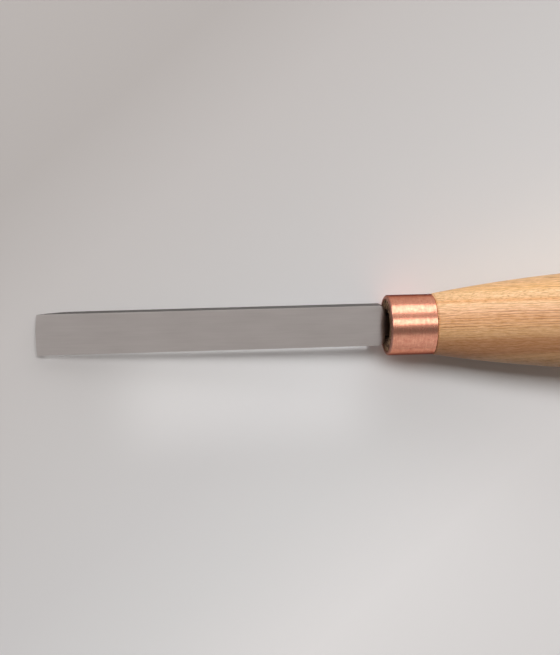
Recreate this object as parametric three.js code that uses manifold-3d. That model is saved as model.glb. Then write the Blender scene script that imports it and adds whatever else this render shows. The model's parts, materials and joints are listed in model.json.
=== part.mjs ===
// Carving chisel: a flat steel blade with its tang, a copper ferrule and a turned ash handle.
// Lengths are in millimetres and +Z is up. The tool lies the way it is put down on a bench,
// on the heel of its bevel and the swell of its handle, with the cutting edge toward -X.
// The pieces are built on the handle's own axis, where x = 0 is the mouth of the ferrule,
// and are then tilted together until both resting points touch the bench.

import * as THREE from "three";
import { mergeVertices } from "three/addons/utils/BufferGeometryUtils.js";
import Module from "manifold-3d";

const wasm = await Module();
wasm.setup();

// Blade, in front of the ferrule
const bladeLength = 85; // middle of the cutting edge to the mouth of the ferrule
const bladeWidth = 10;
const bladeRootThickness = 3.1;
const bladeHeelThickness = 2.65;
const bladeBackHeight = 0.4; // flat back of the blade and tang above the handle's axis
const backArris = 0.25; // small flat broken along both long edges of the back
const bevelLength = 9.6; // cutting edge to where the rounded heel has run out
const bevelFlatLength = 6.2; // where the bevel's own slope would meet the underside
const edgeThickness = 0.06;
const edgeCrown = 0.25; // how far the middle of the cutting edge leads its corners
const cornerEasing = 0.18; // width lost at each corner of the cutting edge
const cornerEasingLength = 3.5;

// Neck and tang, inside the ferrule and the handle
const neckWidth = 5;
const shoulderRounding = 1.6; // outer corner of each shoulder, seen from above
const shoulderStandoff = 0.2; // blade's shoulders to the mouth of the ferrule
const tangLength = 58; // measured from the mouth of the ferrule
const tangWidth = 3.6;
const tangThickness = 2.4;
const tangEndWidth = 2;
const tangEndThickness = 1.6;

// Resin that the tang is bedded in
const beddingStart = 8; // depth of the resin's front below the mouth
const beddingWall = 0.65; // least resin beside the corners of the tang
const beddingFloor = 1.5; // resin past the end of the tang

// Ferrule, a length of copper tube
const ferruleLength = 11.5;
const ferruleWall = 1;
const ferruleFrontRounding = 0.6;
const ferruleBackEasing = 0.2;

// Handle, turned
const handleLength = 122; // end grain in the ferrule to the butt
const endGrainRecess = 0.2;
const spigotWall = 2.12; // wood between the bore and the ferrule
const neckProud = 0.1; // wood above the copper, behind the ferrule
const neckEasing = 0.3;
const swellDiameter = 26;
const swellDistance = 65; // back of the ferrule to the thickest place
const buttDiameter = 22.8; // where the rounding of the butt starts
const buttRounding = 6; // length of that rounding, along the handle
const buttFlatDiameter = 10.8;

// Clearance between pieces that are fitted, pressed or bedded together
const fitGap = 0.3;

// Fineness of the facets
const turnedSides = 48;
const swellSteps = 16;
const taperSteps = 8;
const buttSteps = 8;
const roundingSteps = 4;
const bevelSteps = 8;
const easingSteps = 3;
const crownSteps = 6;
const shoulderSteps = 6;

// How far a cutting or trimming solid runs past what it cuts
const overrun = 5;

// Sizes that follow from the ones above
const halfBlade = bladeWidth / 2;
const halfNeck = neckWidth / 2;
const shoulderRadius = Math.min(shoulderRounding, halfBlade - halfNeck);
const shoulderStart = -shoulderStandoff - shoulderRadius;
const rootUnderside = bladeBackHeight - bladeRootThickness;
const heelUnderside = bladeBackHeight - bladeHeelThickness;
const neckCorner = Math.hypot(halfNeck, Math.max(bladeBackHeight, -rootUnderside));
const tangUnderside = bladeBackHeight - tangThickness;
const tangEndUnderside = bladeBackHeight - tangEndThickness;
const tangCorner = Math.hypot(tangWidth / 2, Math.max(bladeBackHeight, -tangUnderside));
const tangEndCorner = Math.hypot(tangEndWidth / 2, Math.max(bladeBackHeight, -tangEndUnderside));
const beddedGap = fitGap + beddingWall + fitGap;
const boreRadius = Math.max(neckCorner + fitGap, tangCorner + beddedGap);
const boreEndRadius = tangEndCorner + beddedGap;
const beddingEnd = tangLength + fitGap + beddingFloor;
const boreDepth = beddingEnd + fitGap;
const spigotRadius = boreRadius + spigotWall;
const ferruleBore = spigotRadius + fitGap;
const ferruleRadius = ferruleBore + ferruleWall;
const handleShoulder = ferruleLength + fitGap;
const neckRadius = ferruleRadius + neckProud;
const swellRadius = swellDiameter / 2;
const swellAt = ferruleLength + swellDistance;
const buttRadius = buttDiameter / 2;
const buttFlatRadius = buttFlatDiameter / 2;
const buttAt = endGrainRecess + handleLength;

// Geometry helpers

function toSolid(geometry) {
  const bare = geometry.clone();
  bare.deleteAttribute("normal");
  bare.deleteAttribute("uv");
  const merged = mergeVertices(bare);
  const vertProperties = new Float32Array(merged.attributes.position.array);
  const triVerts = new Uint32Array(merged.index.array);
  return new wasm.Manifold(new wasm.Mesh({ numProp: 3, vertProperties, triVerts }));
}

function toGeometry(solid) {
  const cut = solid.getMesh();
  const geometry = new THREE.BufferGeometry();
  geometry.setAttribute("position", new THREE.BufferAttribute(cut.vertProperties, cut.numProp));
  geometry.setIndex(new THREE.BufferAttribute(cut.triVerts, 1));
  geometry.computeVertexNormals();
  return geometry;
}

// Points are [along the axis, radius]; the turned shape's axis is X.
function revolve(points) {
  const profile = points.map(([along, radius]) => new THREE.Vector2(radius, along));
  const geometry = new THREE.LatheGeometry(profile, turnedSides);
  geometry.rotateZ(-Math.PI / 2);
  return geometry;
}

// A closed shape through points given in order.
function outline(points) {
  return new THREE.Shape(points.map(([x, y]) => new THREE.Vector2(x, y)));
}

// An outline carried straight to both sides of its own plane.
function slab(shape, reach) {
  const geometry = new THREE.ExtrudeGeometry(shape, { depth: 2 * reach, bevelEnabled: false, steps: 1 });
  geometry.translate(0, 0, -reach);
  return geometry;
}

// Points of a quarter round or a part of one, ending at endAngle about its centre.
function arcPoints(centre, radii, startAngle, steps, endAngle = 0) {
  const points = [];
  for (let step = 0; step <= steps; step += 1) {
    const angle = startAngle + (endAngle - startAngle) * step / steps;
    points.push([centre[0] + radii[0] * Math.cos(angle), centre[1] + radii[1] * Math.sin(angle)]);
  }
  return points;
}

// Blade and tang

// Underside of the blade, from the cutting edge over the convex bevel to the root.
function undersidePoints() {
  const edge = new THREE.Vector2(-bladeLength, bladeBackHeight - edgeThickness);
  const turn = new THREE.Vector2(-bladeLength + bevelFlatLength, heelUnderside);
  const heel = new THREE.Vector2(-bladeLength + bevelLength, heelUnderside);
  const bevel = new THREE.QuadraticBezierCurve(edge, turn, heel);
  const points = bevel.getPoints(bevelSteps).map((point) => [point.x, point.y]);
  points.push([0, rootUnderside]);
  return points;
}

// Blade and tang seen from the side: X along the tool, Y is up. One flat back serves both.
function bladeSide() {
  return outline([
    [-bladeLength, bladeBackHeight],
    ...undersidePoints(),
    [beddingStart, tangUnderside],
    [tangLength, tangEndUnderside],
    [tangLength, bladeBackHeight],
  ]);
}

// One side of the blade and tang seen from above, from the cutting edge's corner back.
function flankPoints() {
  const cornerX = -bladeLength + edgeCrown;
  const corner = new THREE.Vector2(cornerX, halfBlade - cornerEasing);
  const bend = new THREE.Vector2(cornerX + cornerEasingLength / 2, halfBlade);
  const straight = new THREE.Vector2(cornerX + cornerEasingLength, halfBlade);
  const easing = new THREE.QuadraticBezierCurve(corner, bend, straight);
  const shoulderCentre = [shoulderStart, halfBlade - shoulderRadius];
  return [
    ...easing.getPoints(easingSteps).map((point) => [point.x, point.y]),
    ...arcPoints(shoulderCentre, [shoulderRadius, shoulderRadius], Math.PI / 2, shoulderSteps),
    [-shoulderStandoff, halfNeck],
    [0, halfNeck],
    [beddingStart, tangWidth / 2],
    [tangLength, tangEndWidth / 2],
  ];
}

// Points across the crowned cutting edge, between its two corners.
function crownPoints() {
  const points = [];
  for (let step = 1; step < crownSteps; step += 1) {
    const across = 2 * step / crownSteps - 1;
    const lead = edgeCrown * (1 - across * across);
    points.push([-bladeLength + edgeCrown - lead, (halfBlade - cornerEasing) * across]);
  }
  return points;
}

// Blade and tang seen from above: one side, the other side mirrored, and the cutting edge.
function bladePlan() {
  const flank = flankPoints();
  const otherFlank = flank.map(([x, y]) => [x, -y]).reverse();
  return outline([...flank, ...otherFlank, ...crownPoints()]);
}

// The blade's section, with the arris broken along both long edges of its back.
function arrisSection() {
  const below = -halfBlade - overrun;
  return outline([
    [-halfBlade, below],
    [halfBlade, below],
    [halfBlade, bladeBackHeight - backArris],
    [halfBlade - backArris, bladeBackHeight],
    [-halfBlade + backArris, bladeBackHeight],
    [-halfBlade, bladeBackHeight - backArris],
  ]);
}

function bladeGeometry() {
  const plan = slab(bladePlan(), halfBlade + overrun);
  const side = slab(bladeSide(), halfBlade + overrun).rotateX(Math.PI / 2);
  const section = slab(arrisSection(), Math.max(bladeLength, tangLength) + overrun);
  section.rotateX(Math.PI / 2).rotateZ(Math.PI / 2);
  return toGeometry(toSolid(plan).intersect(toSolid(side)).intersect(toSolid(section)));
}

// Resin round the tang

// The tang's own taper grown by the fit gap, seen from above or from the side. Each end of the
// tang is given by its two edges, the lower one first.
function tangPocket(start, end) {
  const [startLow, startHigh] = [start[0] - fitGap, start[1] + fitGap];
  const [endLow, endHigh] = [end[0] - fitGap, end[1] + fitGap];
  return outline([
    [beddingStart - overrun, startLow],
    [beddingStart, startLow],
    [tangLength + fitGap, endLow],
    [tangLength + fitGap, endHigh],
    [beddingStart, startHigh],
    [beddingStart - overrun, startHigh],
  ]);
}

// Radius of the tapering bore at a depth below the mouth of the ferrule.
function boreRadiusAt(depth) {
  const share = (depth - endGrainRecess) / (boreDepth - endGrainRecess);
  return boreRadius + (boreEndRadius - boreRadius) * share;
}

function beddingGeometry() {
  const plug = revolve([
    [beddingStart, 0],
    [beddingStart, boreRadiusAt(beddingStart) - fitGap],
    [beddingEnd, boreRadiusAt(beddingEnd) - fitGap],
    [beddingEnd, 0],
  ]);
  const reach = boreRadius + overrun;
  const plan = slab(
    tangPocket([-tangWidth / 2, tangWidth / 2], [-tangEndWidth / 2, tangEndWidth / 2]), reach);
  const side = slab(
    tangPocket([tangUnderside, bladeBackHeight], [tangEndUnderside, bladeBackHeight]), reach);
  side.rotateX(Math.PI / 2);
  const pocket = toSolid(plan).intersect(toSolid(side));
  return toGeometry(toSolid(plug).subtract(pocket));
}

// Ferrule

function ferruleGeometry() {
  const rounding = ferruleFrontRounding;
  const centre = [rounding, ferruleRadius - rounding];
  return revolve([
    [0, ferruleBore],
    ...arcPoints(centre, [-rounding, rounding], 0, roundingSteps, Math.PI / 2),
    [ferruleLength - ferruleBackEasing, ferruleRadius],
    [ferruleLength, ferruleRadius - ferruleBackEasing],
    [ferruleLength, ferruleBore],
    [0, ferruleBore],
  ]);
}

// Handle

// The turned outside of the handle, from behind the ferrule over the swell to the butt.
function handleOutside() {
  const points = [[handleShoulder, neckRadius - neckEasing]];
  const neckAt = handleShoulder + neckEasing;
  for (let step = 0; step <= swellSteps; step += 1) {
    const x = neckAt + (swellAt - neckAt) * step / swellSteps;
    const toSwell = (swellAt - x) / (swellAt - handleShoulder);
    points.push([x, swellRadius - (swellRadius - neckRadius) * toSwell * toSwell]);
  }
  const roundingDepth = buttRadius - buttFlatRadius;
  const taper = 2 * (swellRadius - buttRadius) / (buttAt - buttRounding - swellAt);
  const taperEnd = Math.atan2(roundingDepth, buttRounding * taper);
  const centre = [buttAt - buttRounding, buttFlatRadius];
  const rounding = arcPoints(centre, [buttRounding, roundingDepth], taperEnd, buttSteps);
  const [endX, endRadius] = rounding[0];
  for (let step = 1; step < taperSteps; step += 1) {
    const past = step / taperSteps;
    points.push([swellAt + (endX - swellAt) * past, swellRadius - (swellRadius - endRadius) * past * past]);
  }
  points.push(...rounding);
  return points;
}

function handleGeometry() {
  return revolve([
    [boreDepth, 0],
    [boreDepth, boreEndRadius],
    [endGrainRecess, boreRadius],
    [endGrainRecess, spigotRadius],
    [handleShoulder, spigotRadius],
    ...handleOutside(),
    [buttAt, 0],
  ]);
}

// Materials

function groundSteel() {
  return new THREE.MeshStandardMaterial({ color: 0x9d9693, roughness: 0.35, metalness: 1 });
}

function burnishedCopper() {
  return new THREE.MeshStandardMaterial({ color: 0xc98468, roughness: 0.28, metalness: 1 });
}

function oiledAsh() {
  return new THREE.MeshStandardMaterial({ color: 0xd8ac78, roughness: 0.55, metalness: 0 });
}

function darkResin() {
  return new THREE.MeshStandardMaterial({ color: 0x2b211b, roughness: 0.45, metalness: 0 });
}

// Assembly

function piece(name, geometry, material) {
  const mesh = new THREE.Mesh(geometry, material);
  mesh.name = name;
  return mesh;
}

// Slope of the line under the tool that touches both the blade and the handle.
function benchSlope() {
  const slopes = handleOutside().map(([x, radius]) => {
    const toBlade = undersidePoints().map(([bladeX, bladeZ]) => (radius + bladeZ) / (x - bladeX));
    return Math.min(...toBlade);
  });
  return Math.max(...slopes);
}

// Tilts the tool onto its resting points and centres it over the origin, on the bench.
function layDown(tool) {
  tool.rotation.y = -Math.atan(benchSlope());
  const box = new THREE.Box3().setFromObject(tool, true);
  const centre = box.getCenter(new THREE.Vector3());
  tool.position.set(-centre.x, -centre.y, -box.min.z);
  return tool;
}

const chisel = new THREE.Group();
chisel.add(piece("blade", bladeGeometry(), groundSteel()));
chisel.add(piece("tang_bedding", beddingGeometry(), darkResin()));
chisel.add(piece("ferrule", ferruleGeometry(), burnishedCopper()));
chisel.add(piece("handle", handleGeometry(), oiledAsh()));

export default layDown(chisel);
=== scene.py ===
import json
import math

import bpy
from mathutils import Matrix, Vector


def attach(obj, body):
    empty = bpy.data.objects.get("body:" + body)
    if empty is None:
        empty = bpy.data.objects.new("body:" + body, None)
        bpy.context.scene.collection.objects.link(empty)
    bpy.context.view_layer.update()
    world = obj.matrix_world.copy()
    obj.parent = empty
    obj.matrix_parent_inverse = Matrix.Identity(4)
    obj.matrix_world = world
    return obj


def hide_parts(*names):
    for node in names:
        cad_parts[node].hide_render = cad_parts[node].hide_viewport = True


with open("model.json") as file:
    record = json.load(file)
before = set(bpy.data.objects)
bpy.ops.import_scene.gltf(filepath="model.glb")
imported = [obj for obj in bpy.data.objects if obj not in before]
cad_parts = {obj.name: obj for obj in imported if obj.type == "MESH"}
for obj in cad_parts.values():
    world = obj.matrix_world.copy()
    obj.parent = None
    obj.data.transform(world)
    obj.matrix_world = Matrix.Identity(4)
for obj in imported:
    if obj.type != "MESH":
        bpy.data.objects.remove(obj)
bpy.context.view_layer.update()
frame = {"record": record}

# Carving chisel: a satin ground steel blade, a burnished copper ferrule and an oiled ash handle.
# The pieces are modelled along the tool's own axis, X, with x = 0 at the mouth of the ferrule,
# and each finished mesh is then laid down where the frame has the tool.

MM = 0.001

# Blade and tang
BLADE_LENGTH = 85 * MM
BLADE_WIDTH = 10 * MM
ROOT_THICKNESS = 3.1 * MM
HEEL_THICKNESS = 2.65 * MM
BACK_HEIGHT = 0.4 * MM
BEVEL_LENGTH = 9.6 * MM
BEVEL_FLAT = 6.2 * MM
EDGE_THICKNESS = 0.06 * MM
EDGE_CROWN = 0.25 * MM
CORNER_EASING = 0.05 * MM
CORNER_EASING_LENGTH = 3.5 * MM
BACK_ARRIS = 0.06 * MM
NECK_WIDTH = 5 * MM
SHOULDER_ROUNDING = 1.6 * MM
SHOULDER_STANDOFF = 0.2 * MM
SHOULDER_DRAFT = 0.05 * MM
TANG_START = 8 * MM
TANG_LENGTH = 58 * MM
TANG_WIDTH = 3.6 * MM
TANG_THICKNESS = 2.4 * MM
TANG_END_WIDTH = 2 * MM
TANG_END_THICKNESS = 1.6 * MM

# Resin, ferrule and handle
RESIN_END = 59.8 * MM
RESIN_MENISCUS = 0.8 * MM
BORE_RADIUS = 3.98 * MM
BORE_END_RADIUS = 2.81 * MM
BORE_DEPTH = 60.1 * MM
FERRULE_LENGTH = 11.5 * MM
FERRULE_RADIUS = 7.4 * MM
FERRULE_WALL = 1 * MM
FERRULE_ROUNDING = 0.6 * MM
FERRULE_EASING = 0.15 * MM
HANDLE_LENGTH = 122 * MM
END_GRAIN_RECESS = 0.2 * MM
SHOULDER_GAP = 0.12 * MM
NECK_RADIUS = 7.5 * MM
NECK_EASING = 0.35 * MM
SWELL_RADIUS = 13 * MM
SWELL_AT = 76.5 * MM
BUTT_RADIUS = 11.4 * MM
BUTT_ROUNDING = 6 * MM
BUTT_FLAT_RADIUS = 5.4 * MM
HAIRLINE = 0.02 * MM

# Fineness of the meshes
TURNED_SIDES = 128
SWELL_STEPS = 28
TAPER_STEPS = 14
BUTT_STEPS = 12
LIP_STEPS = 6
EASING_STEPS = 3
BEVEL_STEPS = 12
SHOULDER_STEPS = 10
COLUMNS = 8

# Sections of the blade's straight middle, as shares of its length from the ferrule
MIDDLE_SECTIONS = (0.75, 0.5, 0.25)

# How closely a place on the bevel's curve is found, as a share of the curve
CURVE_TOLERANCE = 1e-6

# Faces that meet at less than these angles are shaded as one round surface.
TURNED_ROUND_ANGLE = math.radians(35)
BLADE_ROUND_ANGLE = math.radians(24)

# A face of the blade is a flank where its normal rises or falls by less than this, and a face of the
# handle is end grain where its normal points forward by more than this.
FLANK_RISE = 0.4
END_GRAIN_FORWARD = 0.9

# Where the frame has the tool: its axis and the mouth of its ferrule.
butt = next(mount for mount in frame["record"]["mounts"] if mount["name"] == "butt_face")
tool_axis = Vector(butt["axis"]).normalized()
LIE_ANGLE = math.asin(tool_axis.z)
mouth = Vector(butt["pos_m"]) - tool_axis * (HANDLE_LENGTH + END_GRAIN_RECESS)
PLACE = Matrix.Translation(mouth) @ Matrix.Rotation(-LIE_ANGLE, 4, "Y")


# Colours and nodes

def rgb(hex_code):
    """An sRGB hex colour as linear RGBA."""
    shares = [int(hex_code[i:i + 2], 16) / 255 for i in (1, 3, 5)]
    linear = [s / 12.92 if s <= 0.04045 else ((s + 0.055) / 1.055) ** 2.4 for s in shares]
    return (*linear, 1)


def add(tree, kind, settings=None, inputs=None, stops=None, output=0):
    """Adds a node and returns one of its outputs, if it has any. Inputs are values or other nodes'
    outputs, by name or number; stops are a ramp's places with their hex colours or grey levels."""
    made = tree.nodes.new(kind)
    for name, value in (settings or {}).items():
        setattr(made, name, value)
    for name, value in (inputs or {}).items():
        if isinstance(value, bpy.types.NodeSocket):
            tree.links.new(value, made.inputs[name])
        else:
            made.inputs[name].default_value = value
    if stops:
        ramp = made.color_ramp.elements
        while len(ramp) < len(stops):
            ramp.new(1)
        for element, (place, colour) in zip(ramp, stops):
            element.position = place
            element.color = rgb(colour) if isinstance(colour, str) else (colour, colour, colour, 1)
    return made.outputs[output] if made.outputs else None


def new_material(name):
    """An empty material and its node tree."""
    made = bpy.data.materials.new(name)
    made.use_nodes = True
    made.node_tree.nodes.clear()
    return made, made.node_tree


def along_tool(tree):
    """The surface's place in millimetres, X along the tool from the mouth of its ferrule."""
    place = add(tree, "ShaderNodeTexCoord", output="Object")
    return add(tree, "ShaderNodeMapping", {"vector_type": "TEXTURE"}, {
        "Vector": place, "Location": mouth, "Rotation": (0, -LIE_ANGLE, 0), "Scale": (MM, MM, MM)})


def grain(tree, place, per_mm, detail, roughness=0.5):
    """A noise with its own count of features a millimetre along, across and up the tool. Features
    that are a quarter of a millimetre wide have a count of 4."""
    spread = add(tree, "ShaderNodeMapping", {"vector_type": "POINT"}, {"Vector": place, "Scale": per_mm})
    return add(tree, "ShaderNodeTexNoise", None, {
        "Vector": spread, "Scale": 1, "Detail": detail, "Roughness": roughness})


# Materials

ACROSS_BLADE = "across_blade"


def ground_steel():
    """Surface-ground tool steel: fine scratches along the blade smear its reflections sideways, so
    that the face is one soft grey, while what stands at its end is mirrored crisply. The scratches
    are a few hundredths of a millimetre apart and are drawn coarser, as faint streaks a quarter of a
    millimetre wide and 10 mm long, over clouds about 3 mm wide."""
    made, tree = new_material("tool_steel_surface_ground")
    place = along_tool(tree)
    scratches = grain(tree, place, per_mm=(0.1, 4, 4), detail=3, roughness=0.6)
    clouds = grain(tree, place, per_mm=(0.08, 0.3, 0.3), detail=2)
    roughness = add(tree, "ShaderNodeMapRange", None, {
        "Value": scratches, "From Min": 0.3, "From Max": 0.7, "To Min": 0.29, "To Max": 0.33})
    worn = add(tree, "ShaderNodeMix", {"data_type": "FLOAT"}, {
        "Factor": 0.45, "A": clouds, "B": scratches})
    tone = add(tree, "ShaderNodeValToRGB", None, {"Fac": worn}, [(0.3, "#B5ACA8"), (0.7, "#C0B7B3")])
    across = add(tree, "ShaderNodeTangent", {"direction_type": "UV_MAP", "uv_map": ACROSS_BLADE})
    shader = add(tree, "ShaderNodeBsdfPrincipled", None, {
        "Base Color": tone, "Metallic": 1, "Roughness": roughness, "Anisotropic": 1.0,
        "Tangent": across})
    add(tree, "ShaderNodeOutputMaterial", None, {"Surface": shader})
    return made


def darker_flank_steel():
    """The blade's flanks: a darker, duller grey than the face, in patches about 3 mm long and half a
    millimetre high."""
    made, tree = new_material("tool_steel_darker_flank")
    scale = grain(tree, along_tool(tree), per_mm=(0.3, 2, 2), detail=4)
    tone = add(tree, "ShaderNodeValToRGB", None, {"Fac": scale}, [(0.3, "#524F4C"), (0.7, "#6A6562")])
    shader = add(tree, "ShaderNodeBsdfPrincipled", None, {
        "Base Color": tone, "Metallic": 1, "Roughness": 0.42})
    add(tree, "ShaderNodeOutputMaterial", None, {"Surface": shader})
    return made


# Painted shade: a dark tint takes the brightness out of the copper's glancing reflections, so that
# its top and bottom edges look dark.
GLANCING_SHADE_TINT = "#4B4E68"

# At the rim the painted shade of the glancing reflections is left off, and they keep a pale copper tint.
RIM_GLANCING_TINT = "#EBC8BE"

# The rim is darkened to a brown by painted shade at the first of these distances behind its front,
# and clean at the second, in millimetres.
RIM_SHADE_FADES = (0.15, 0.55)
RIM_SHADE_COPPER = "#A0776B"


def burnished_copper():
    """Copper tube burnished in the lathe: bright bands along it, made uneven by shallow ripples, with
    fine striations round it and the cloudy patches of handled copper. Painted shade darkens its
    glancing reflections, except at the rim, and turns the rim brown. Striations are a third of a
    millimetre wide, patches and ripples about 1 mm and dents 3."""
    made, tree = new_material("copper_tube_burnished")
    place = along_tool(tree)
    striations = grain(tree, place, per_mm=(3, 0.25, 0.25), detail=3, roughness=0.65)
    clouds = grain(tree, place, per_mm=(1.1, 1.1, 1.1), detail=4, roughness=0.65)
    dents = grain(tree, place, per_mm=(0.35, 0.35, 0.35), detail=1)
    ripples = grain(tree, place, per_mm=(1.3, 0.9, 0.9), detail=2)
    handled = add(tree, "ShaderNodeMix", {"data_type": "FLOAT"}, {
        "Factor": 0.4, "A": clouds, "B": striations})
    tone = add(tree, "ShaderNodeValToRGB", None, {"Fac": handled}, [(0.36, "#E3937A"), (0.6, "#FBB294")])
    from_rim = add(tree, "ShaderNodeSeparateXYZ", None, {0: place}, output="X")
    # Painted shade: the copper turns a darker brown at the rim.
    shaded_rim_share = add(tree, "ShaderNodeMapRange", None, {
        "Value": from_rim, "From Min": RIM_SHADE_FADES[0], "From Max": RIM_SHADE_FADES[1], "To Min": 1,
        "To Max": 0})
    colour = add(tree, "ShaderNodeMix", {"data_type": "RGBA"}, {
        "Factor": shaded_rim_share, "A": tone, "B": rgb(RIM_SHADE_COPPER)}, output="Result")
    # Painted shade on the glancing reflections, left off at the rim.
    glancing_tint = add(tree, "ShaderNodeMix", {"data_type": "RGBA"}, {
        "Factor": shaded_rim_share, "A": rgb(GLANCING_SHADE_TINT), "B": rgb(RIM_GLANCING_TINT)}, output="Result")
    roughness = add(tree, "ShaderNodeMapRange", None, {
        "Value": clouds, "From Min": 0.35, "From Max": 0.65, "To Min": 0.28, "To Max": 0.2})
    swells = add(tree, "ShaderNodeBump", None, {"Height": dents, "Strength": 0.5, "Distance": 0.06 * MM})
    waves = add(tree, "ShaderNodeBump", None, {
        "Height": ripples, "Strength": 0.5, "Distance": 0.035 * MM, "Normal": swells})
    relief = add(tree, "ShaderNodeBump", None, {
        "Height": striations, "Strength": 0.5, "Distance": 0.014 * MM, "Normal": waves})
    shader = add(tree, "ShaderNodeBsdfPrincipled", None, {
        "Base Color": colour, "Metallic": 1, "Roughness": roughness, "Normal": relief,
        "Specular Tint": glancing_tint})
    add(tree, "ShaderNodeOutputMaterial", None, {"Surface": shader})
    return made


# Growth rings are told apart by their distance from the tree's heart, in millimetres. The heart lies
# far off to one side and a little above, so that the rings cross the handle as nearly flat sheets.
# Zero is the ring that runs along the middle of the handle's upper side.
HEART_SIDEWAYS = 70
HEART_ABOVE = 26
UPPER_SIDE = 10
FIRST_RING = -10
LAST_RING = 16
RING_WANDER = 0.8
LINE_SPACING = 0.66
LINE_HALF_WIDTH = 0.13
LINE_WAVER = 1.1


def oiled_ash():
    """Turned ash under oil: straight growth rings with fine reddish lines between them, short pores
    in the open early wood and silky fibres along the handle. The rings' tones carry painted shade
    as well as their own colour: darker on the -Y side, away from the lamps, and paler on the lit
    +Y side. Pores are about 0.2 mm wide and just over 1 mm long, and fibres a quarter of a
    millimetre wide and 17 mm long."""
    made, tree = new_material("ash_turned_and_oiled")
    place = along_tool(tree)
    wander = grain(tree, place, per_mm=(0.012, 0.07, 0.07), detail=2)
    from_heart = add(tree, "ShaderNodeMapping", {"vector_type": "POINT"}, {
        "Vector": place, "Location": (0, HEART_SIDEWAYS, -HEART_ABOVE), "Scale": (0, 1, 1)})
    distance = add(tree, "ShaderNodeVectorMath", {"operation": "LENGTH"}, {0: from_heart}, output="Value")
    to_upper_side = math.hypot(HEART_SIDEWAYS, HEART_ABOVE - UPPER_SIDE)
    ring = add(tree, "ShaderNodeMath", {"operation": "MULTIPLY_ADD"}, {
        0: wander, 1: 2 * RING_WANDER, 2: distance})
    across = add(tree, "ShaderNodeMapRange", None, {
        "Value": ring, "From Min": to_upper_side + RING_WANDER + FIRST_RING,
        "From Max": to_upper_side + RING_WANDER + LAST_RING})

    def at(ring_mm):
        """Where a ring lies on the ramps."""
        return (ring_mm - FIRST_RING) / (LAST_RING - FIRST_RING)

    # The rings' tones are partly the wood's own and partly painted shade: the rings on the -Y side, away
    # from the lamps, are darker and more saturated, and those on the lit +Y side paler.
    tone = add(tree, "ShaderNodeValToRGB", None, {"Fac": across}, [
        (at(-9.4), "#DDAE7C"), (at(-7.4), "#D0A272"), (at(-6.2), "#D8A878"), (at(-5.2), "#BC855A"),
        (at(-3.6), "#BF895D"), (at(-2.2), "#BC875B"), (at(-1.1), "#D0A070"), (at(0.2), "#D5A675"),
        (at(1.4), "#D9A674"), (at(3.2), "#D39C6A"), (at(4.9), "#E3B186"), (at(6.9), "#EFC394"),
        (at(7.6), "#E2A66C"), (at(8.4), "#E9BD8C"), (at(9.6), "#F0C593"), (at(10.8), "#EAB87D"),
        (at(12.4), "#E8B986"), (at(14), "#E4B784")])
    line_strength = add(tree, "ShaderNodeValToRGB", None, {"Fac": across}, [
        (at(-9), 0.3), (at(-6), 0.3), (at(-3), 0.35), (at(0.6), 0.35), (at(1.2), 0.95), (at(4.4), 0.95),
        (at(5), 0.5), (at(7), 0.5), (at(7.6), 0.15), (at(10.2), 0.15), (at(11), 0.6), (at(14), 0.5)])
    wavering = grain(tree, place, per_mm=(0.012, 0.8, 0.8), detail=2)
    line_place = add(tree, "ShaderNodeMath", {"operation": "MULTIPLY_ADD"}, {
        0: wavering, 1: LINE_WAVER, 2: ring})
    from_line = add(tree, "ShaderNodeMath", {"operation": "PINGPONG"}, {
        0: line_place, 1: LINE_SPACING / 2})
    lines = add(tree, "ShaderNodeMapRange", None, {
        "Value": from_line, "From Min": 0, "From Max": LINE_HALF_WIDTH, "To Min": 1, "To Max": 0})
    breaks = grain(tree, place, per_mm=(0.02, 1.2, 1.2), detail=2)
    unbroken = add(tree, "ShaderNodeMapRange", None, {
        "Value": breaks, "From Min": 0.28, "From Max": 0.5})
    line_share = add(tree, "ShaderNodeMath", {"operation": "MULTIPLY"}, {0: lines, 1: line_strength})
    broken_lines = add(tree, "ShaderNodeMath", {"operation": "MULTIPLY"}, {0: line_share, 1: unbroken})
    open_wood = add(tree, "ShaderNodeValToRGB", None, {"Fac": across}, [
        (at(-8.8), 0.0), (at(-8.2), 0.8), (at(-7), 0.7), (at(-6.6), 0.15), (at(-0.9), 0.2),
        (at(0.9), 0.25), (at(5), 0.2), (at(7.2), 0.3), (at(7.8), 0.9), (at(10), 0.8), (at(10.6), 0.2)])
    vessels = grain(tree, place, per_mm=(0.8, 4.5, 4.5), detail=2)
    pores = add(tree, "ShaderNodeMapRange", None, {
        "Value": vessels, "From Min": 0.52, "From Max": 0.66, "To Min": 0, "To Max": 0.85})
    pore_share = add(tree, "ShaderNodeMath", {"operation": "MULTIPLY"}, {0: pores, 1: open_wood})
    fibres = grain(tree, place, per_mm=(0.06, 3.8, 3.8), detail=4, roughness=0.7)

    with_lines = add(tree, "ShaderNodeMix", {"data_type": "RGBA"}, {
        "Factor": broken_lines, "A": tone, "B": rgb("#8C562E")}, output="Result")
    with_pores = add(tree, "ShaderNodeMix", {"data_type": "RGBA"}, {
        "Factor": pore_share, "A": with_lines, "B": rgb("#B07C46")}, output="Result")
    sheen_of_fibres = add(tree, "ShaderNodeMapRange", None, {
        "Value": fibres, "From Min": 0.32, "From Max": 0.68, "To Min": 0.78, "To Max": 1.16})
    depth_of_colour = add(tree, "ShaderNodeMapRange", None, {
        "Value": fibres, "From Min": 0.32, "From Max": 0.68, "To Min": 1.08, "To Max": 0.88})
    colour = add(tree, "ShaderNodeHueSaturation", None, {
        "Color": with_pores, "Saturation": depth_of_colour, "Value": sheen_of_fibres})
    relief = add(tree, "ShaderNodeBump", {"invert": True}, {
        "Height": pore_share, "Strength": 0.3, "Distance": 0.03 * MM})
    shader = add(tree, "ShaderNodeBsdfPrincipled", None, {
        "Base Color": colour, "Roughness": 0.5, "Specular IOR Level": 0.4, "Normal": relief})
    add(tree, "ShaderNodeOutputMaterial", None, {"Surface": shader})
    return made


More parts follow.
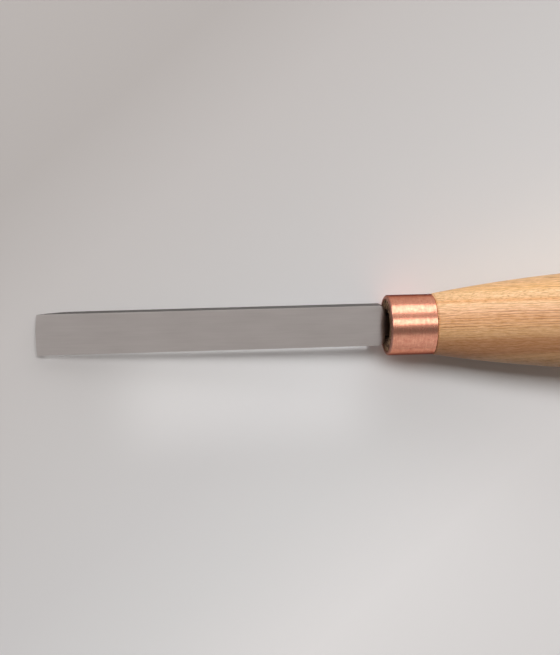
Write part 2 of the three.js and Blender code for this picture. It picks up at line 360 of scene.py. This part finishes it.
# Painted shade round and in the bore, in millimetres. The end grain is darkened with painted shade out
# to this distance from the axis, and the bore's wall turns from brown to black between these two depths
# behind the mouth, as shade deepens down the hole.
SHADE_REACH = 5.4
SHADE_DEEPENS_BETWEEN = (0.21, 3)
BORE_SHADE = "#1C120D"


def end_grain_and_bore_shade():
    """The handle's end grain in the mouth of the ferrule, with brown specks about 0.6 mm across and
    painted shade that darkens it towards the bore, and the bore itself, painted black with shade deeper
    in."""
    made, tree = new_material("ash_end_grain_painted_bore_shade")
    place = along_tool(tree)
    specks = grain(tree, place, per_mm=(1.7, 1.7, 1.7), detail=3, roughness=0.7)
    tone = add(tree, "ShaderNodeValToRGB", None, {"Fac": specks}, [
        (0.4, "#33211A"), (0.5, "#725642"), (0.6, "#AE8F70")])
    section = add(tree, "ShaderNodeMapping", {"vector_type": "POINT"}, {
        "Vector": place, "Scale": (0, 1, 1)})
    from_axis = add(tree, "ShaderNodeVectorMath", {"operation": "LENGTH"}, {0: section}, output="Value")
    # Painted shade: the end grain darkens towards the bore, and the bore's wall blackens with depth.
    shade_round_bore = add(tree, "ShaderNodeMapRange", None, {
        "Value": from_axis, "From Min": BORE_RADIUS / MM, "From Max": SHADE_REACH, "To Min": 0.6,
        "To Max": 0})
    depth = add(tree, "ShaderNodeSeparateXYZ", None, {0: place}, output="X")
    shade_down_bore = add(tree, "ShaderNodeMapRange", None, {
        "Value": depth, "From Min": SHADE_DEEPENS_BETWEEN[0], "From Max": SHADE_DEEPENS_BETWEEN[1],
        "To Min": 0.1, "To Max": 1})
    painted_bore_shade = add(tree, "ShaderNodeMath", {"operation": "MAXIMUM"}, {0: shade_round_bore, 1: shade_down_bore})
    colour = add(tree, "ShaderNodeMix", {"data_type": "RGBA"}, {
        "Factor": painted_bore_shade, "A": tone, "B": rgb(BORE_SHADE)}, output="Result")
    shader = add(tree, "ShaderNodeBsdfPrincipled", None, {
        "Base Color": colour, "Roughness": 0.8, "Specular IOR Level": 0.1})
    add(tree, "ShaderNodeOutputMaterial", None, {"Surface": shader})
    return made


def dark_resin():
    """Cured epoxy, nearly black, with the shine of a poured surface and ripples under 2 mm wide."""
    made, tree = new_material("epoxy_resin_cured")
    ripples = grain(tree, along_tool(tree), per_mm=(0.6, 0.6, 0.6), detail=2)
    tone = add(tree, "ShaderNodeValToRGB", None, {"Fac": ripples}, [(0.35, "#1E1713"), (0.65, "#33261E")])
    relief = add(tree, "ShaderNodeBump", None, {"Height": ripples, "Strength": 0.4, "Distance": 0.1 * MM})
    shader = add(tree, "ShaderNodeBsdfPrincipled", None, {
        "Base Color": tone, "Roughness": 0.25, "Normal": relief})
    add(tree, "ShaderNodeOutputMaterial", None, {"Surface": shader})
    return made


def seen_or_mirrored(tree):
    """One where the camera or a mirror looks straight at a surface, and zero where light bounces on."""
    seen = add(tree, "ShaderNodeLightPath", output="Is Camera Ray")
    mirrored = add(tree, "ShaderNodeLightPath", output="Is Glossy Ray")
    return add(tree, "ShaderNodeMath", {"operation": "MAXIMUM"}, {0: seen, 1: mirrored})


# Painted light: the backdrop turns paler in this direction over the bench, between these two
# distances in metres, making up for the lamps' fall-off and the window's long shadow on the near side.
PAINTED_LIGHT_TOWARD = (1, -1.2, 0)
PAINTED_LIGHT_BETWEEN = (-0.15, 0.07)

# The colour in which the backdrop throws light back at the tool.
BACKDROP_BOUNCE = "#94897E"


def pale_floor():
    """A matt paper backdrop, pale grey, with painted light that makes it paler towards the handle and
    the near side.
    """
    made, tree = new_material("paper_backdrop_painted_light")
    place = add(tree, "ShaderNodeTexCoord", output="Object")
    along = add(tree, "ShaderNodeVectorMath", {"operation": "DOT_PRODUCT"}, {
        0: place, 1: PAINTED_LIGHT_TOWARD}, output="Value")
    # Painted light: the backdrop's tone rises towards the handle and the near side.
    painted_light_share = add(tree, "ShaderNodeMapRange", None, {
        "Value": along, "From Min": PAINTED_LIGHT_BETWEEN[0], "From Max": PAINTED_LIGHT_BETWEEN[1]})
    tone = add(tree, "ShaderNodeValToRGB", None, {"Fac": painted_light_share}, [
        (0, "#BEBAB8"), (0.18, "#CDCAC9"), (0.41, "#D7D6D6"), (0.59, "#DFDFE0"), (0.77, "#EBECED"),
        (1, "#FEFEFF")])
    colour = add(tree, "ShaderNodeMix", {"data_type": "RGBA"}, {
        "Factor": seen_or_mirrored(tree), "A": rgb(BACKDROP_BOUNCE), "B": tone}, output="Result")
    shader = add(tree, "ShaderNodeBsdfPrincipled", None, {
        "Base Color": colour, "Roughness": 0.9, "Specular IOR Level": 0.2})
    add(tree, "ShaderNodeOutputMaterial", None, {"Surface": shader})
    return made


# Modelling

WELD = 0.002 * MM
CLOSE = 0.01 * MM


def begin(add_primitive, **settings):
    """Adds a primitive on its own and opens it in edit mode."""
    bpy.ops.object.select_all(action="DESELECT")
    add_primitive(**settings)
    bpy.ops.object.mode_set(mode="EDIT")
    return bpy.context.object


def close_up(piece, name, materials, node, smooth_angle):
    """Welds the piece, turns its faces out, lays it down on the bench and gives it its finish."""
    bpy.ops.mesh.select_all(action="SELECT")
    bpy.ops.mesh.remove_doubles(threshold=WELD)
    bpy.ops.mesh.normals_make_consistent(inside=False)
    bpy.ops.object.mode_set(mode="OBJECT")
    bpy.ops.object.shade_smooth_by_angle(angle=smooth_angle)
    piece.name = name
    piece.data.name = name
    bpy.ops.object.modifier_add(type="WEIGHTED_NORMAL")
    piece.modifiers[0].keep_sharp = True
    bpy.ops.object.modifier_apply(modifier=piece.modifiers[0].name)
    for material in materials:
        piece.data.materials.append(material)
    piece.matrix_world = PLACE
    bpy.ops.object.transform_apply(location=True, rotation=True, scale=True)
    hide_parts(node)
    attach(piece, "root")
    return piece


def give_second_finish(piece, wanted):
    """Gives the second of the piece's finishes to the faces that pass a test on their middle and
    normal, both as they were before the piece was laid down."""
    turned_back = PLACE.inverted()
    upright = turned_back.to_3x3()
    for face in piece.data.polygons:
        if wanted(turned_back @ face.center, upright @ face.normal):
            face.material_index = 1


def turn_on_lathe(profile):
    """Draws a profile point by point, [along the axis, radius], and spins it round the tool's axis."""
    piece = begin(bpy.ops.mesh.primitive_plane_add, size=MM)
    bpy.ops.mesh.merge(type="CENTER")
    bpy.ops.transform.translate(value=(profile[0][0], 0, profile[0][1]))
    for (x, radius), (next_x, next_radius) in zip(profile, profile[1:]):
        bpy.ops.mesh.extrude_region_move(
            TRANSFORM_OT_translate={"value": (next_x - x, 0, next_radius - radius)})
    bpy.ops.mesh.select_all(action="SELECT")
    bpy.ops.mesh.spin(steps=TURNED_SIDES, angle=math.tau, center=(0, 0, 0), axis=(1, 0, 0))
    return piece


def arc(centre, radii, start, end, steps):
    """Points on a quarter round or part of one; angles are in radians from the axis."""
    angles = [start + (end - start) * step / steps for step in range(steps + 1)]
    return [(centre[0] + radii[0] * math.cos(a), centre[1] + radii[1] * math.sin(a)) for a in angles]


def bezier(start, control, end, share):
    """A point on a quadratic curve."""
    left = 1 - share
    return [left * left * a + 2 * left * share * b + share * share * c
            for a, b, c in zip(start, control, end)]


# Blade and tang

def underside_at(x):
    """Height of the blade's underside: convex bevel, rounded heel, then a slow taper to the root."""
    start = (-BLADE_LENGTH, BACK_HEIGHT - EDGE_THICKNESS)
    turn = (-BLADE_LENGTH + BEVEL_FLAT, BACK_HEIGHT - HEEL_THICKNESS)
    end = (-BLADE_LENGTH + BEVEL_LENGTH, BACK_HEIGHT - HEEL_THICKNESS)
    if x >= end[0]:
        past = (x - end[0]) / -end[0]
        return end[1] + (BACK_HEIGHT - ROOT_THICKNESS - end[1]) * min(past, 1)
    low, high = 0.0, 1.0
    while high - low > CURVE_TOLERANCE:
        middle = (low + high) / 2
        if bezier(start, turn, end, middle)[0] < x:
            low = middle
        else:
            high = middle
    return bezier(start, turn, end, low)[1]


def half_width_at(x):
    """Half the blade's width: eased corners, straight flanks, then the rounded shoulders."""
    corner = -BLADE_LENGTH + EDGE_CROWN
    half_blade = BLADE_WIDTH / 2
    into_rounding = x + SHOULDER_STANDOFF + SHOULDER_ROUNDING
    if x < corner + CORNER_EASING_LENGTH:
        left = 1 - max(x - corner, 0) / CORNER_EASING_LENGTH
        return half_blade - CORNER_EASING * left * left
    if into_rounding <= 0:
        return half_blade
    drop = SHOULDER_ROUNDING ** 2 - into_rounding ** 2
    return half_blade - SHOULDER_ROUNDING + math.sqrt(max(drop, 0))


def blade_stations():
    """Sections along the blade and tang: place, half width, top and bottom."""
    quarter = math.pi / 2
    corner = -BLADE_LENGTH + EDGE_CROWN
    rounding_start = -SHOULDER_STANDOFF - SHOULDER_ROUNDING
    neck_start = -SHOULDER_STANDOFF + SHOULDER_DRAFT
    places = [corner + BEVEL_LENGTH * step / BEVEL_STEPS for step in range(BEVEL_STEPS + 1)]
    places += [-BLADE_LENGTH * share for share in MIDDLE_SECTIONS]
    places += [rounding_start + SHOULDER_ROUNDING * math.sin(quarter * step / SHOULDER_STEPS)
               for step in range(SHOULDER_STEPS + 1)]
    stations = [(x, half_width_at(x), BACK_HEIGHT, underside_at(x)) for x in places]
    stations.append((neck_start, NECK_WIDTH / 2, BACK_HEIGHT, underside_at(neck_start)))
    stations.append((0, NECK_WIDTH / 2, BACK_HEIGHT, underside_at(0)))
    stations.append((TANG_START, TANG_WIDTH / 2, BACK_HEIGHT, BACK_HEIGHT - TANG_THICKNESS))
    stations.append((TANG_LENGTH, TANG_END_WIDTH / 2, BACK_HEIGHT, BACK_HEIGHT - TANG_END_THICKNESS))
    return stations


def select_edges(piece, wanted):
    """Selects the edges whose two ends both pass a test on their place."""
    bpy.ops.mesh.select_all(action="DESELECT")
    bpy.ops.object.mode_set(mode="OBJECT")
    for edge in piece.data.edges:
        ends = [piece.data.vertices[index].co for index in edge.vertices]
        edge.select = all(wanted(end) for end in ends)
    bpy.ops.object.mode_set(mode="EDIT")


def make_blade():
    """A section drawn along the blade and tang from the cutting edge, growing and shrinking."""
    stations = blade_stations()
    x, half, top, bottom = stations[0]
    origin = (0, 0, 0)
    piece = begin(bpy.ops.mesh.primitive_grid_add, x_subdivisions=1, y_subdivisions=COLUMNS, size=1)
    bpy.ops.mesh.select_all(action="SELECT")
    bpy.ops.transform.rotate(value=math.pi / 2, orient_axis="Y", center_override=origin)
    bpy.ops.transform.resize(value=(1, 2 * half, top - bottom), center_override=origin)
    bpy.ops.transform.translate(value=(x, 0, (top + bottom) / 2))
    for before, after in zip(stations, stations[1:]):
        rise = (after[2] + after[3] - before[2] - before[3]) / 2
        middle = (after[0], 0, (after[2] + after[3]) / 2)
        growth = (1, after[1] / before[1], (after[2] - after[3]) / (before[2] - before[3]))
        bpy.ops.mesh.extrude_region_move(
            TRANSFORM_OT_translate={"value": (after[0] - before[0], 0, rise)})
        bpy.ops.transform.resize(value=growth, center_override=middle)
    crown_edge(piece, x, half)
    ease_back(piece)
    close_up(piece, "carving_blade", [ground_steel(), darker_flank_steel()], "blade",
             BLADE_ROUND_ANGLE)
    give_second_finish(piece, lambda middle, normal: middle.x < 0 and abs(normal.z) < FLANK_RISE)
    unroll_across(piece)
    return piece


def unroll_across(piece):
    """Gives the blade a UV map whose U runs across it, square to its grinding scratches."""
    layer = piece.data.uv_layers.new(name=ACROSS_BLADE)
    for corner in piece.data.loops:
        place = piece.data.vertices[corner.vertex_index].co
        layer.data[corner.index].uv = ((place.y + place.z) / MM, place.x / MM)


def crown_edge(piece, x, half):
    """Draws the middle of the cutting edge forward, so that it is a shallow curve."""
    for column in range(1, COLUMNS):
        y = half * (2 * column / COLUMNS - 1)
        bpy.ops.mesh.select_all(action="DESELECT")
        bpy.ops.object.mode_set(mode="OBJECT")
        for vertex in piece.data.vertices:
            vertex.select = abs(vertex.co.x - x) < CLOSE and abs(vertex.co.y - y) < CLOSE
        bpy.ops.object.mode_set(mode="EDIT")
        lead = EDGE_CROWN * (1 - (y / half) ** 2)
        bpy.ops.transform.translate(value=(-lead, 0, 0))


def ease_back(piece):
    """Breaks the arrises along both flanks of the back."""
    def on_back_flank(place):
        off_flank = abs(abs(place.y) - half_width_at(place.x))
        return place.x < 0 and abs(place.z - BACK_HEIGHT) < CLOSE and off_flank < 2 * CLOSE
    select_edges(piece, on_back_flank)
    bpy.ops.mesh.bevel(offset=BACK_ARRIS, segments=EASING_STEPS, affect="EDGES")


# Ferrule, resin and handle

def make_ferrule():
    """A length of tube, its mouth rolled over and its back edge eased."""
    bore = FERRULE_RADIUS - FERRULE_WALL
    lip = FERRULE_ROUNDING
    quarter = math.pi / 2
    profile = [(FERRULE_EASING, bore), (0, bore + FERRULE_EASING)]
    profile += arc((lip, FERRULE_RADIUS - lip), (lip, lip), math.pi, quarter, LIP_STEPS)
    profile += arc((FERRULE_LENGTH - FERRULE_EASING, FERRULE_RADIUS - FERRULE_EASING),
                   (FERRULE_EASING, FERRULE_EASING), quarter, 0, EASING_STEPS)
    profile += [(FERRULE_LENGTH, bore), (FERRULE_EASING, bore)]
    piece = turn_on_lathe(profile)
    return close_up(piece, "copper_ferrule", [burnished_copper()], "ferrule",
                    TURNED_ROUND_ANGLE)


def bore_radius_at(x):
    """The bore's radius, which shrinks evenly from the end grain to its bottom."""
    share = (x - END_GRAIN_RECESS) / (BORE_DEPTH - END_GRAIN_RECESS)
    return BORE_RADIUS + (BORE_END_RADIUS - BORE_RADIUS) * share


def make_handle():
    """Turned from the bore outwards: end grain, spigot, neck, swell and rounded butt."""
    shoulder = FERRULE_LENGTH + SHOULDER_GAP
    spigot = FERRULE_RADIUS - FERRULE_WALL - HAIRLINE
    butt_at = END_GRAIN_RECESS + HANDLE_LENGTH
    rounding_depth = BUTT_RADIUS - BUTT_FLAT_RADIUS
    taper = 2 * (SWELL_RADIUS - BUTT_RADIUS) / (butt_at - BUTT_ROUNDING - SWELL_AT)
    taper_end = math.atan2(rounding_depth, BUTT_ROUNDING * taper)
    butt_arc = arc((butt_at - BUTT_ROUNDING, BUTT_FLAT_RADIUS), (BUTT_ROUNDING, rounding_depth),
                   taper_end, 0, BUTT_STEPS)
    profile = [(BORE_DEPTH, 0), (BORE_DEPTH, BORE_END_RADIUS), (END_GRAIN_RECESS, BORE_RADIUS)]
    profile += [(END_GRAIN_RECESS, spigot), (shoulder, spigot), (shoulder, NECK_RADIUS - NECK_EASING)]
    for step in range(SWELL_STEPS + 1):
        x = shoulder + NECK_EASING + (SWELL_AT - shoulder - NECK_EASING) * step / SWELL_STEPS
        left = (SWELL_AT - x) / (SWELL_AT - shoulder)
        profile.append((x, SWELL_RADIUS - (SWELL_RADIUS - NECK_RADIUS) * left * left))
    end_x, end_radius = butt_arc[0]
    for step in range(1, TAPER_STEPS):
        past = step / TAPER_STEPS
        radius = SWELL_RADIUS - (SWELL_RADIUS - end_radius) * past * past
        profile.append((SWELL_AT + (end_x - SWELL_AT) * past, radius))
    profile += butt_arc
    profile.append((butt_at, 0))
    piece = turn_on_lathe(profile)
    close_up(piece, "ash_handle", [oiled_ash(), end_grain_and_bore_shade()], "handle",
             TURNED_ROUND_ANGLE)

    def in_mouth_or_bore(middle, normal):
        from_axis = math.hypot(middle.y, middle.z)
        end_grain = from_axis < spigot and normal.x < -END_GRAIN_FORWARD
        return middle.x < BORE_DEPTH and (from_axis < BORE_RADIUS or end_grain)

    give_second_finish(piece, in_mouth_or_bore)
    return piece


def make_resin():
    """Fills the bore round the tang, with a hollow front where it crept up the wall."""
    front = TANG_START + RESIN_MENISCUS
    profile = [(front, 0), (front, BORE_RADIUS / 2)]
    profile += [(x, bore_radius_at(x) - HAIRLINE) for x in (TANG_START, RESIN_END)]
    profile.append((RESIN_END, 0))
    piece = turn_on_lathe(profile)
    return close_up(piece, "tang_resin", [dark_resin()], "tang_bedding", TURNED_ROUND_ANGLE)


# Stage, lights and camera

FLOOR_SIZE = 8


def make_floor():
    """The backdrop that the tool lies on, wide enough to fill every view."""
    bpy.ops.object.select_all(action="DESELECT")
    bpy.ops.mesh.primitive_plane_add(size=FLOOR_SIZE)
    floor = bpy.context.object
    floor.name = "floor"
    floor.data.materials.append(pale_floor())


def softbox(name, lean, distance, size, radiance, ahead=0, aim=(0, 0, 0), turn=0, spread=180):
    """A soft lamp that leans over from straight above what it is aimed at: by so many degrees toward
    +Y, and by so many ahead of the cutting edge. It can be turned in its own plane, and its light can
    be kept within fewer degrees. It is returned so that metal or bench can be left out of its light."""
    lamp = bpy.data.lights.new(name, "AREA")
    lamp.shape = "RECTANGLE"
    lamp.size, lamp.size_y = size
    lamp.energy = radiance * math.pi * size[0] * size[1]
    lamp.spread = math.radians(spread)
    holder = bpy.data.objects.new(name, lamp)
    bpy.context.scene.collection.objects.link(holder)
    holder.visible_camera = False
    tilt = Matrix.Rotation(-math.radians(ahead), 4, "Y") @ Matrix.Rotation(-math.radians(lean), 4, "X")
    above = Matrix.Translation(aim) @ tilt @ Matrix.Translation((0, 0, distance))
    holder.matrix_world = above @ Matrix.Rotation(math.radians(turn), 4, "Z")
    return holder


def place_lamps():
    """A key softbox ahead of the tool, which gives the shadows, a strip overhead that gives gloss, and
    a low window to one side. Two narrow lamps beside the blade lift its shadow, one of them only where
    the bench meets the blade's lower edge."""
    key = softbox("key_softbox", lean=29, ahead=25, distance=0.8, size=(0.9, 0.22), radiance=8.25)
    key.visible_glossy = False
    strip = softbox("overhead_strip", lean=23, distance=0.8, size=(2.4, 0.28), radiance=2.0)
    strip.visible_diffuse = False
    softbox("window_softbox", lean=74, distance=1.0, size=(2.5, 0.56), radiance=1.8)
    beside_blade = softbox("shadow_lifter", lean=-55, distance=0.3, size=(0.06, 0.004), radiance=1.0,
                           aim=(-0.052, -0.0145, 0), spread=5)
    beside_blade.visible_glossy = False
    under_edge = softbox("edge_lifter", lean=-55, distance=0.085, size=(0.0804, 0.001), radiance=1.1,
                         aim=(-0.0612, -0.0058, 0), turn=-0.575, spread=1.2)
    under_edge.visible_glossy = False


# The even light that comes back from the room's walls and ceiling.
ROOM_FILL = "#6E655F"

# The pale wall ahead of the cutting edge, which shows in the lip of the ferrule. A mirror begins to
# show it where it looks ahead by the first of these shares, and shows it fully by the second.
ROOM_END = "#A8A4A0"
ROOM_END_SHOWS = (-0.6, -0.9)

# What the metal mirrors of the room: its brightness at each lean from straight above, in degrees.
ROOM_LEANS = [(-90, 0.5), (-50, 0.68), (-38, 0.68), (-28, 0.52), (-20, 0.22), (-4, 0.17), (8, 0.4),
              (36, 0.42), (44, 0.42), (54, 0.62), (90, 0.5)]


def surround_with_room():
    """A plain room: an even fill for wood and bench, and for the metal to mirror, walls that are
    lighter than the ceiling."""
    world = bpy.data.worlds.new("studio")
    world.use_nodes = True
    tree = world.node_tree
    tree.nodes.clear()
    direction = add(tree, "ShaderNodeTexCoord", output="Generated")
    sideways = add(tree, "ShaderNodeSeparateXYZ", None, {0: direction}, output="Y")
    upward = add(tree, "ShaderNodeSeparateXYZ", None, {0: direction}, output="Z")
    lean = add(tree, "ShaderNodeMath", {"operation": "ARCTAN2"}, {0: sideways, 1: upward})
    place = add(tree, "ShaderNodeMapRange", None, {
        "Value": lean, "From Min": -math.pi / 2, "From Max": math.pi / 2})
    room = add(tree, "ShaderNodeValToRGB", None, {"Fac": place}, [
        (0.5 + degrees / 180, level) for degrees, level in ROOM_LEANS])
    forward = add(tree, "ShaderNodeSeparateXYZ", None, {0: direction}, output="X")
    far_end = add(tree, "ShaderNodeMapRange", None, {
        "Value": forward, "From Min": ROOM_END_SHOWS[0], "From Max": ROOM_END_SHOWS[1]})
    mirrored_room = add(tree, "ShaderNodeMix", {"data_type": "RGBA"}, {
        "Factor": far_end, "A": room, "B": rgb(ROOM_END)}, output="Result")
    colour = add(tree, "ShaderNodeMix", {"data_type": "RGBA"}, {
        "Factor": seen_or_mirrored(tree), "A": rgb(ROOM_FILL), "B": mirrored_room}, output="Result")
    background = add(tree, "ShaderNodeBackground", None, {"Color": colour})
    add(tree, "ShaderNodeOutputWorld", None, {"Surface": background})
    bpy.context.scene.world = world


# The camera that took the photograph, as fitted to the outlines of the tool
CAMERA_DISTANCE = 424.98 * MM
CAMERA_AIM = Vector((-26.18, 0.18, 0)) * MM
CAMERA_AZIMUTH = math.radians(225.93)
CAMERA_ELEVATION = math.radians(71.92)
CAMERA_ROLL = math.radians(132.905)
FOCAL_PIXELS = 1750
IMAGE_HEIGHT = 655
SENSOR_WIDTH = 36


def place_camera():
    """Looks down at the blade, a little from its edge's end, as the photograph does."""
    data = bpy.data.cameras.new("camera")
    data.sensor_width = SENSOR_WIDTH
    data.lens = FOCAL_PIXELS / IMAGE_HEIGHT * SENSOR_WIDTH
    camera = bpy.data.objects.new("camera", data)
    bpy.context.scene.collection.objects.link(camera)
    back = Vector((math.sin(CAMERA_AZIMUTH) * math.cos(CAMERA_ELEVATION),
                   -math.cos(CAMERA_AZIMUTH) * math.cos(CAMERA_ELEVATION), math.sin(CAMERA_ELEVATION)))
    aim = PLACE @ CAMERA_AIM
    turned = back.to_track_quat("Z", "Y").to_matrix().to_4x4() @ Matrix.Rotation(CAMERA_ROLL, 4, "Z")
    camera.matrix_world = Matrix.Translation(aim + back * CAMERA_DISTANCE) @ turned
    bpy.context.scene.camera = camera


make_blade()
make_resin()
make_ferrule()
make_handle()
make_floor()
place_lamps()
surround_with_room()
place_camera()
bpy.context.scene.view_settings.view_transform = "Standard"
